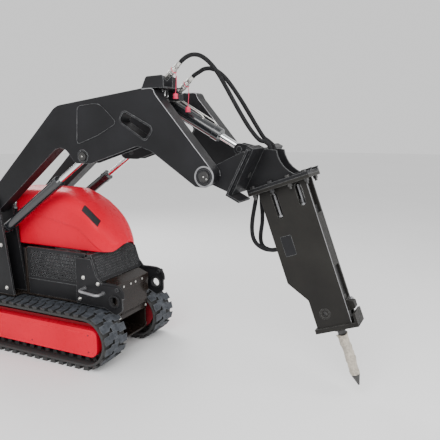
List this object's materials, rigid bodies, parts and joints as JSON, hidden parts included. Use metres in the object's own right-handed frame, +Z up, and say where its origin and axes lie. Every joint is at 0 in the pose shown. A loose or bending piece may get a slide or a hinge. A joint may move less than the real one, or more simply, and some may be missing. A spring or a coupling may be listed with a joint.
{
  "type": "tracked utility loader with hydraulic breaker",
  "caption": "Narrow stand-behind tracked loader with raised loader arms, a tilting tool mount and a hydraulic breaker with its chisel.",
  "frame": {"origin": "on the ground, on the centre plane, under the front of the tracks", "axes": "+X forward, +Y to the machine's left, +Z up"},
  "size_m": [3.2364, 0.88, 2.1354],
  "materials": {
    "black_paint": "satin black paint, lighter along worn edges",
    "frame_paint": "glossy brownish black paint",
    "cylinder_paint": "gloss black paint",
    "red_paint": "gloss red paint",
    "dark_red_paint": "satin dark red paint",
    "track_rubber": "dusty rubber, grey on the worn lug faces",
    "wheel_iron": "painted cast iron with mud",
    "zinc": "zinc plated",
    "chrome_rod": "hard chrome",
    "cap_plastic": "red moulded plastic",
    "black_plastic": "textured black plastic",
    "lever_steel": "black grips on plated rods",
    "engine_alloy": "cast alloy",
    "pump_iron": "machined cast iron",
    "tool_steel": "dark forged steel",
    "hose_rubber": "black sleeved rubber hose",
    "pad_vinyl": "black grained vinyl"
  },
  "bodies": {
    "chassis": {"main_frame": "frame_paint", "front_plate": "frame_paint", "tie_down_plates": "black_paint", "front_screen": "black_paint", "side_panels": "black_paint", "arm_towers": "black_paint", "engine": "engine_alloy", "radiator": "engine_alloy", "hydraulic_pump": "pump_iron", "fuel_tank": "black_plastic", "hydraulic_tank": "black_plastic", "counterweight": "black_paint", "rear_cowl": "black_plastic", "thigh_pad": "pad_vinyl", "operator_platform": "black_paint", "hand_rails": "black_paint", "track_frames": "dark_red_paint", "track_guards": "red_paint", "left_track_belt": "track_rubber", "right_track_belt": "track_rubber", "tower_pins": "zinc"},
    "loader_arms": {"left_loader_arm": "black_paint", "right_loader_arm": "black_paint", "arm_cross_tube": "black_paint", "coupler_bracket": "black_paint", "couplers": "zinc", "dust_caps": "cap_plastic", "arm_pins": "zinc", "breaker_hoses": "hose_rubber"},
    "tool_mount": {"mount_plate": "black_paint", "attachment_bracket": "black_paint", "breaker_housing": "black_paint", "breaker_cylinder": "pump_iron", "front_head": "pump_iron", "retainer_pin": "tool_steel", "bottom_guard": "black_paint", "port_fittings": "zinc", "flange_bolts": "zinc"},
    "hood": {"hood": "red_paint"},
    "cooling_fan": {"cooling_fan": "black_plastic"},
    "left_drive_lever": {"left_drive_lever": "lever_steel"},
    "right_drive_lever": {"right_drive_lever": "lever_steel"},
    "loader_lever": {"loader_lever": "lever_steel"},
    "throttle_lever": {"throttle_lever": "lever_steel"},
    "left_sprocket": {"left_sprocket": "wheel_iron"},
    "right_sprocket": {"right_sprocket": "wheel_iron"},
    "left_idler": {"left_idler": "wheel_iron"},
    "right_idler": {"right_idler": "wheel_iron"},
    "left_front_roller": {"left_front_roller": "wheel_iron"},
    "left_rear_roller": {"left_rear_roller": "wheel_iron"},
    "right_front_roller": {"right_front_roller": "wheel_iron"},
    "right_rear_roller": {"right_rear_roller": "wheel_iron"},
    "lift_rods": {"lift_rods": "chrome_rod"},
    "lift_barrels": {"lift_barrels": "cylinder_paint"},
    "tilt_rod": {"tilt_rod": "chrome_rod"},
    "tilt_barrel": {"tilt_barrel": "cylinder_paint"},
    "left_lock_lever": {"left_lock_lever": "zinc"},
    "right_lock_lever": {"right_lock_lever": "zinc"},
    "piston": {"piston": "tool_steel"},
    "chisel": {"chisel": "tool_steel"}
  },
  "joints": [
    {"name": "arm_lift", "type": "hinge", "parent": "chassis", "child": "loader_arms", "pos_m": [-1.1, 0, 1.1], "axis": [0, -1, 0], "range_deg": [-38.7, 20]},
    {"name": "mount_tilt", "type": "hinge", "parent": "loader_arms", "child": "tool_mount", "pos_m": [0.697, 0, 1.385], "axis": [0, -1, 0], "range_deg": [-40, 30], "deforming": ["breaker_hoses"]},
    {"name": "lift_rod_pin", "type": "hinge", "parent": "loader_arms", "child": "lift_rods", "pos_m": [-0.221, 0, 1.485], "axis": [0, -1, 0], "range_deg": [-3, 3]},
    {"name": "lift_stroke", "type": "slide", "parent": "lift_rods", "child": "lift_barrels", "axis": [-0.817, 0, -0.5766], "range_m": [-0.131, 0.07]},
    {"name": "tilt_rod_pin", "type": "hinge", "parent": "tool_mount", "child": "tilt_rod", "pos_m": [0.803, 0, 1.542], "axis": [0, -1, 0], "range_deg": [-30, 40]},
    {"name": "tilt_stroke", "type": "slide", "parent": "tilt_rod", "child": "tilt_barrel", "axis": [-0.8802, 0, 0.4746], "range_m": [-0.095, 0.126]},
    {"name": "hood_hinge", "type": "hinge", "parent": "chassis", "child": "hood", "pos_m": [-1.012, 0, 1.085], "axis": [0, -1, 0], "range_deg": [0, 32]},
    {"name": "fan_spin", "type": "hinge", "parent": "chassis", "child": "cooling_fan", "pos_m": [-0.4, 0, 0.58], "axis": [1, 0, 0], "continuous": true},
    {"name": "left_drive", "type": "hinge", "parent": "chassis", "child": "left_drive_lever", "pos_m": [-1.12, -0.1, 0.92], "axis": [0, 1, 0], "range_deg": [-12, 12], "stiffness_Nm_per_rad": 12},
    {"name": "right_drive", "type": "hinge", "parent": "chassis", "child": "right_drive_lever", "pos_m": [-1.12, -0.15, 0.92], "axis": [0, 1, 0], "range_deg": [-12, 12], "stiffness_Nm_per_rad": 12},
    {"name": "loader_control", "type": "hinge", "parent": "chassis", "child": "loader_lever", "pos_m": [-1.12, 0, 0.92], "axis": [0, 1, 0], "range_deg": [-12, 12], "stiffness_Nm_per_rad": 12},
    {"name": "throttle", "type": "hinge", "parent": "chassis", "child": "throttle_lever", "pos_m": [-1.12, 0.11, 0.92], "axis": [0, 1, 0], "range_deg": [-12, 12]},
    {"name": "left_lock", "type": "hinge", "parent": "tool_mount", "child": "left_lock_lever", "pos_m": [0.90836, 0.122, 1.38697], "axis": [0.8998, 0, -0.4364], "range_deg": [0, 90]},
    {"name": "right_lock", "type": "hinge", "parent": "tool_mount", "child": "right_lock_lever", "pos_m": [0.90836, -0.122, 1.38697], "axis": [-0.8998, 0, 0.4364], "range_deg": [0, 90]},
    {"name": "chisel_slide", "type": "slide", "parent": "tool_mount", "child": "chisel", "axis": [-0.3437, 0, 0.9391], "range_m": [0, 0.025]},
    {"name": "piston_slide", "type": "slide", "parent": "tool_mount", "child": "piston", "axis": [-0.3437, 0, 0.9391], "range_m": [0, 0.045]},
    {"name": "left_track_drive", "type": "hinge", "parent": "chassis", "child": "left_sprocket", "pos_m": [-1.15, 0.32, 0.2], "axis": [0, 1, 0], "continuous": true},
    {"name": "left_idler_turn", "type": "hinge", "parent": "chassis", "child": "left_idler", "pos_m": [-0.2, 0.32, 0.2], "axis": [0, 1, 0], "continuous": true},
    {"name": "left_front_roller_turn", "type": "hinge", "parent": "chassis", "child": "left_front_roller", "pos_m": [-0.49, 0.32, 0.1054], "axis": [0, 1, 0], "continuous": true},
    {"name": "left_rear_roller_turn", "type": "hinge", "parent": "chassis", "child": "left_rear_roller", "pos_m": [-0.86, 0.32, 0.1054], "axis": [0, 1, 0], "continuous": true},
    {"name": "right_track_drive", "type": "hinge", "parent": "chassis", "child": "right_sprocket", "pos_m": [-1.15, -0.32, 0.2], "axis": [0, 1, 0], "continuous": true},
    {"name": "right_idler_turn", "type": "hinge", "parent": "chassis", "child": "right_idler", "pos_m": [-0.2, -0.32, 0.2], "axis": [0, 1, 0], "continuous": true},
    {"name": "right_front_roller_turn", "type": "hinge", "parent": "chassis", "child": "right_front_roller", "pos_m": [-0.49, -0.32, 0.1054], "axis": [0, 1, 0], "continuous": true},
    {"name": "right_rear_roller_turn", "type": "hinge", "parent": "chassis", "child": "right_rear_roller", "pos_m": [-0.86, -0.32, 0.1054], "axis": [0, 1, 0], "continuous": true}
  ],
  "couplings": [
    {"joint": "lift_rod_pin", "follows": "arm_lift", "ratio": -0.04},
    {"joint": "lift_stroke", "follows": "arm_lift", "m_per_rad": 0.19},
    {"joint": "tilt_rod_pin", "follows": "mount_tilt", "ratio": -0.965},
    {"joint": "tilt_stroke", "follows": "mount_tilt", "m_per_rad": -0.176},
    {"joint": "left_idler_turn", "follows": "left_track_drive", "ratio": 1.0025},
    {"joint": "left_front_roller_turn", "follows": "left_track_drive", "ratio": 2.4615},
    {"joint": "left_rear_roller_turn", "follows": "left_track_drive", "ratio": 2.4615},
    {"joint": "right_idler_turn", "follows": "right_track_drive", "ratio": 1.0025},
    {"joint": "right_front_roller_turn", "follows": "right_track_drive", "ratio": 2.4615},
    {"joint": "right_rear_roller_turn", "follows": "right_track_drive", "ratio": 2.4615}
  ]
}
